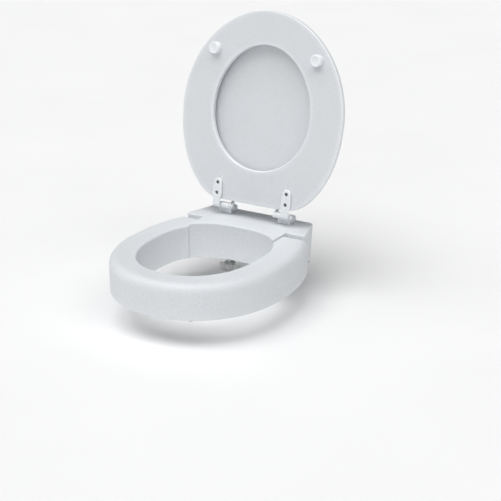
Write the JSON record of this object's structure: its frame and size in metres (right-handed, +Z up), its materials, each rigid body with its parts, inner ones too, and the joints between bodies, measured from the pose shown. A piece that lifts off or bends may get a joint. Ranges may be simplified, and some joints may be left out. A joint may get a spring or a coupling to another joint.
{
  "type": "hinged raised toilet seat",
  "caption": "Toilet seat riser of hollow white plastic: a front ring hinged to a bolted rear block, with a hinged seat ring and lid shown raised.",
  "frame": {"origin": "midway between the two mounting bolts, on the plane where the riser rests on the bowl rim", "axes": "+Z up, -Y towards the front of the bowl, +X to the right seen from the front"},
  "size_m": [0.374, 0.4751, 0.5521],
  "materials": {
    "riser_plastic": "satin, fine moulded texture",
    "seat_plastic": "satin, light pebble",
    "hinge_plastic": "semi-gloss",
    "pad_rubber": "matt",
    "bolt_plastic": "satin",
    "screw_steel": "brushed"
  },
  "bodies": {
    "rear_block": {"riser_rear_block": "riser_plastic", "riser_hinge_pin_left": "bolt_plastic", "riser_hinge_pin_right": "bolt_plastic", "grip_pad_block_left": "pad_rubber", "grip_pad_block_right": "pad_rubber", "mounting_bolt_left": "bolt_plastic", "mounting_bolt_right": "bolt_plastic", "bolt_washer_left": "pad_rubber", "bolt_washer_right": "pad_rubber", "hinge_post_left": "hinge_plastic", "hinge_post_right": "hinge_plastic", "seat_hinge_pin_left": "hinge_plastic", "seat_hinge_pin_right": "hinge_plastic"},
    "riser": {"riser_ring": "riser_plastic", "grip_pad_front_left": "pad_rubber", "grip_pad_front_right": "pad_rubber", "grip_pad_side_left": "pad_rubber", "grip_pad_side_right": "pad_rubber"},
    "seat": {"seat_ring": "seat_plastic", "seat_strap_left": "hinge_plastic", "seat_strap_right": "hinge_plastic", "seat_bumper_left": "hinge_plastic", "seat_bumper_right": "hinge_plastic", "seat_screw_lower_left": "screw_steel", "seat_screw_lower_right": "screw_steel", "seat_screw_upper_left": "screw_steel", "seat_screw_upper_right": "screw_steel"},
    "lid": {"lid_panel": "seat_plastic", "lid_strap_left": "hinge_plastic", "lid_strap_right": "hinge_plastic", "lid_bumper_left": "hinge_plastic", "lid_bumper_right": "hinge_plastic", "lid_screw_lower_left": "screw_steel", "lid_screw_lower_right": "screw_steel", "lid_screw_upper_left": "screw_steel", "lid_screw_upper_right": "screw_steel"},
    "wing_nut_left": {"wing_nut_left": "bolt_plastic"},
    "wing_nut_right": {"wing_nut_right": "bolt_plastic"},
    "bolt_cap_left": {"bolt_cap_left": "hinge_plastic"},
    "bolt_cap_right": {"bolt_cap_right": "hinge_plastic"}
  },
  "joints": [
    {"name": "seat_hinge", "type": "hinge", "parent": "rear_block", "child": "seat", "pos_m": [0, -0.021, 0.096], "axis": [1, 0, 0], "range_deg": [0, 102]},
    {"name": "lid_hinge", "type": "hinge", "parent": "seat", "child": "lid", "pos_m": [0, -0.021, 0.096], "axis": [-1, 0, 0], "range_deg": [0, 40]},
    {"name": "riser_hinge", "type": "hinge", "parent": "rear_block", "child": "riser", "pos_m": [0, -0.0665, 0.0645], "axis": [1, 0, 0], "range_deg": [-95, 0]},
    {"name": "wing_nut_spin_left", "type": "hinge", "parent": "rear_block", "child": "wing_nut_left", "pos_m": [-0.07, 0, -0.047], "axis": [0, 0, 1], "continuous": true},
    {"name": "wing_nut_spin_right", "type": "hinge", "parent": "rear_block", "child": "wing_nut_right", "pos_m": [0.07, 0, -0.047], "axis": [0, 0, 1], "continuous": true},
    {"name": "bolt_cap_flip_left", "type": "hinge", "parent": "rear_block", "child": "bolt_cap_left", "pos_m": [0, 0.0117, 0.0883], "axis": [-1, 0, 0], "range_deg": [0, 95]},
    {"name": "bolt_cap_flip_right", "type": "hinge", "parent": "rear_block", "child": "bolt_cap_right", "pos_m": [0, 0.0117, 0.0883], "axis": [-1, 0, 0], "range_deg": [0, 95]}
  ]
}
